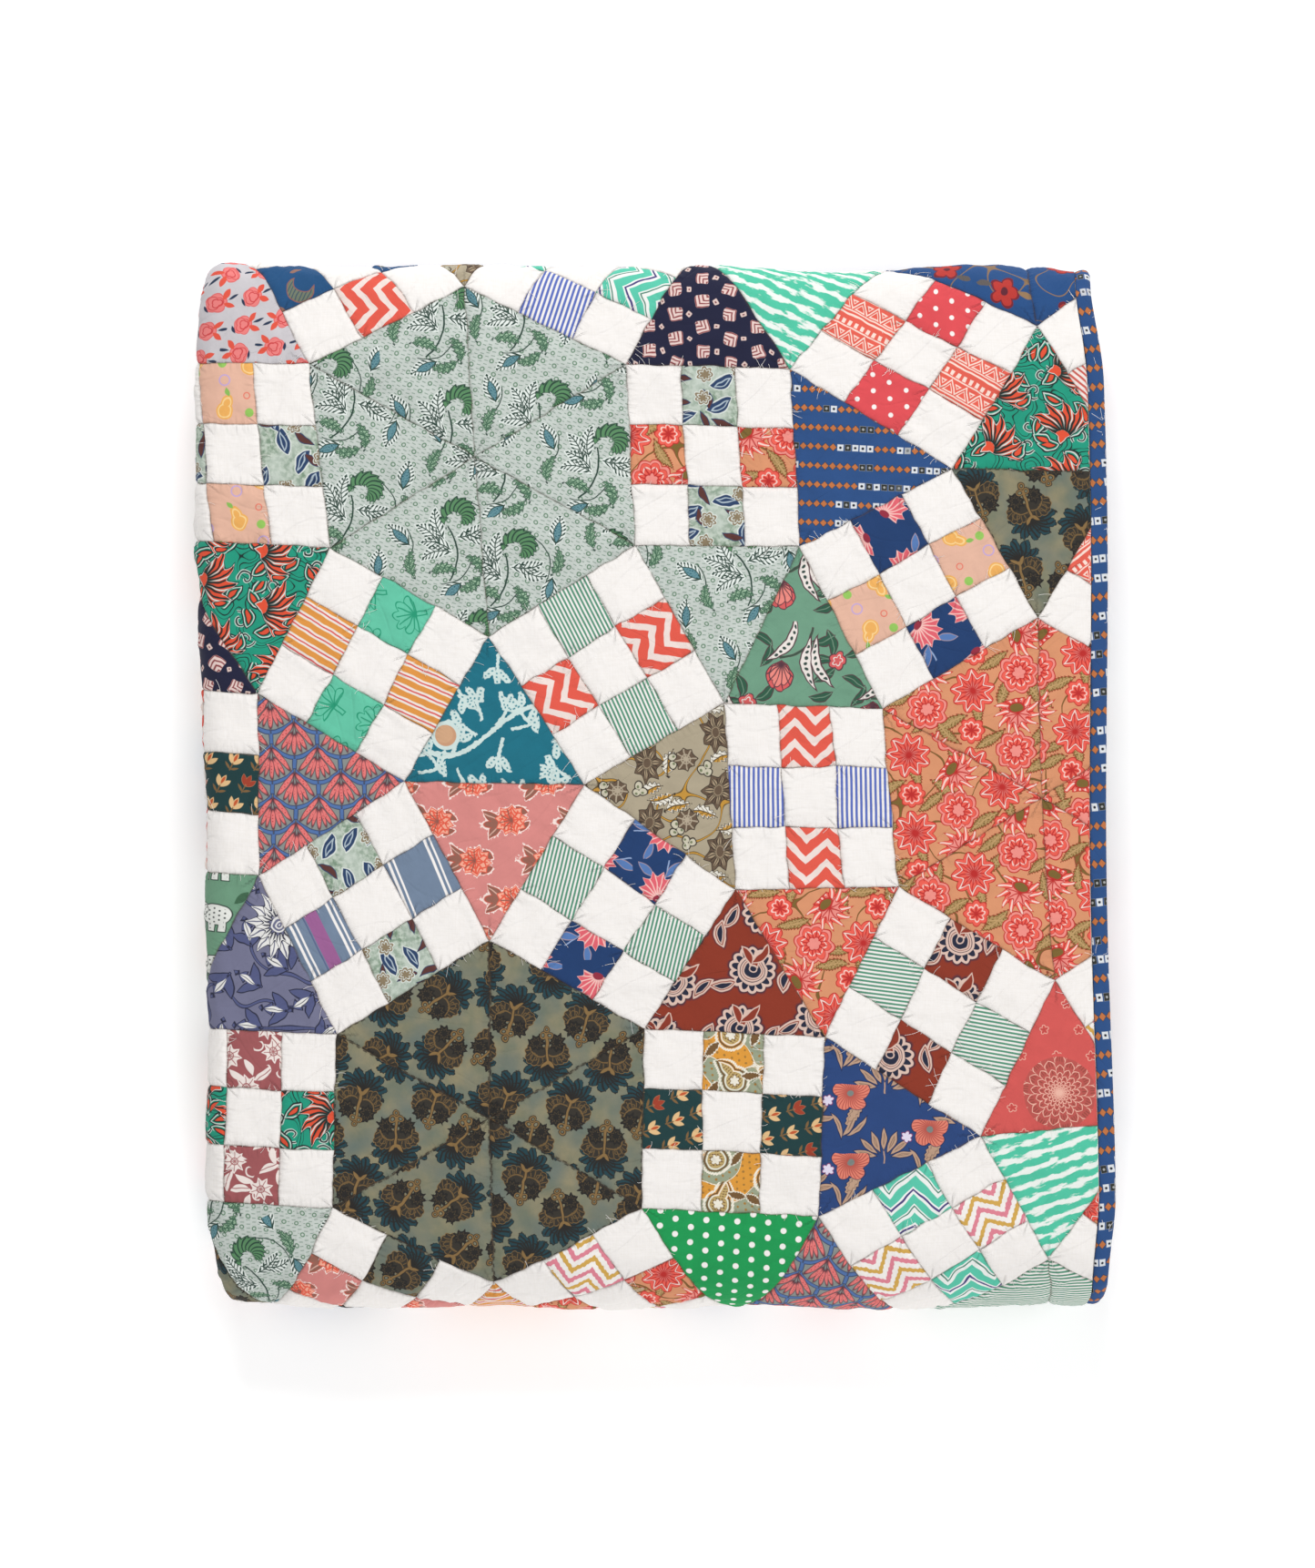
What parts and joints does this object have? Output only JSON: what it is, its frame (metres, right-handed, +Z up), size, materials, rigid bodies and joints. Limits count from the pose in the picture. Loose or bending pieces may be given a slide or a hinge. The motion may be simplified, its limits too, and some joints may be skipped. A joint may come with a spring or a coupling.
{
  "type": "folded patchwork quilt",
  "caption": "Cotton patchwork quilt folded into a flat pile: printed hexagons ringed by checked squares and triangles on white, edged with a blue print binding.",
  "frame": {"origin": "middle of the folded pile's base, on the surface it lies on", "axes": "+X towards the bound edge, +Y along the pile's long side towards its upper fold, +Z up through the layers"},
  "size_m": [0.6094, 0.694, 0.0962],
  "materials": {
    "patchwork_cotton": "matte printed and plain white quilting cotton",
    "binding_cotton": "matte blue printed cotton"
  },
  "bodies": {
    "root": {"quilt_cloth": "patchwork_cotton", "side_binding_upper": "binding_cotton", "side_binding_lower": "binding_cotton", "end_binding_bottom": "binding_cotton", "end_binding_middle": "binding_cotton"}
  },
  "joints": []
}
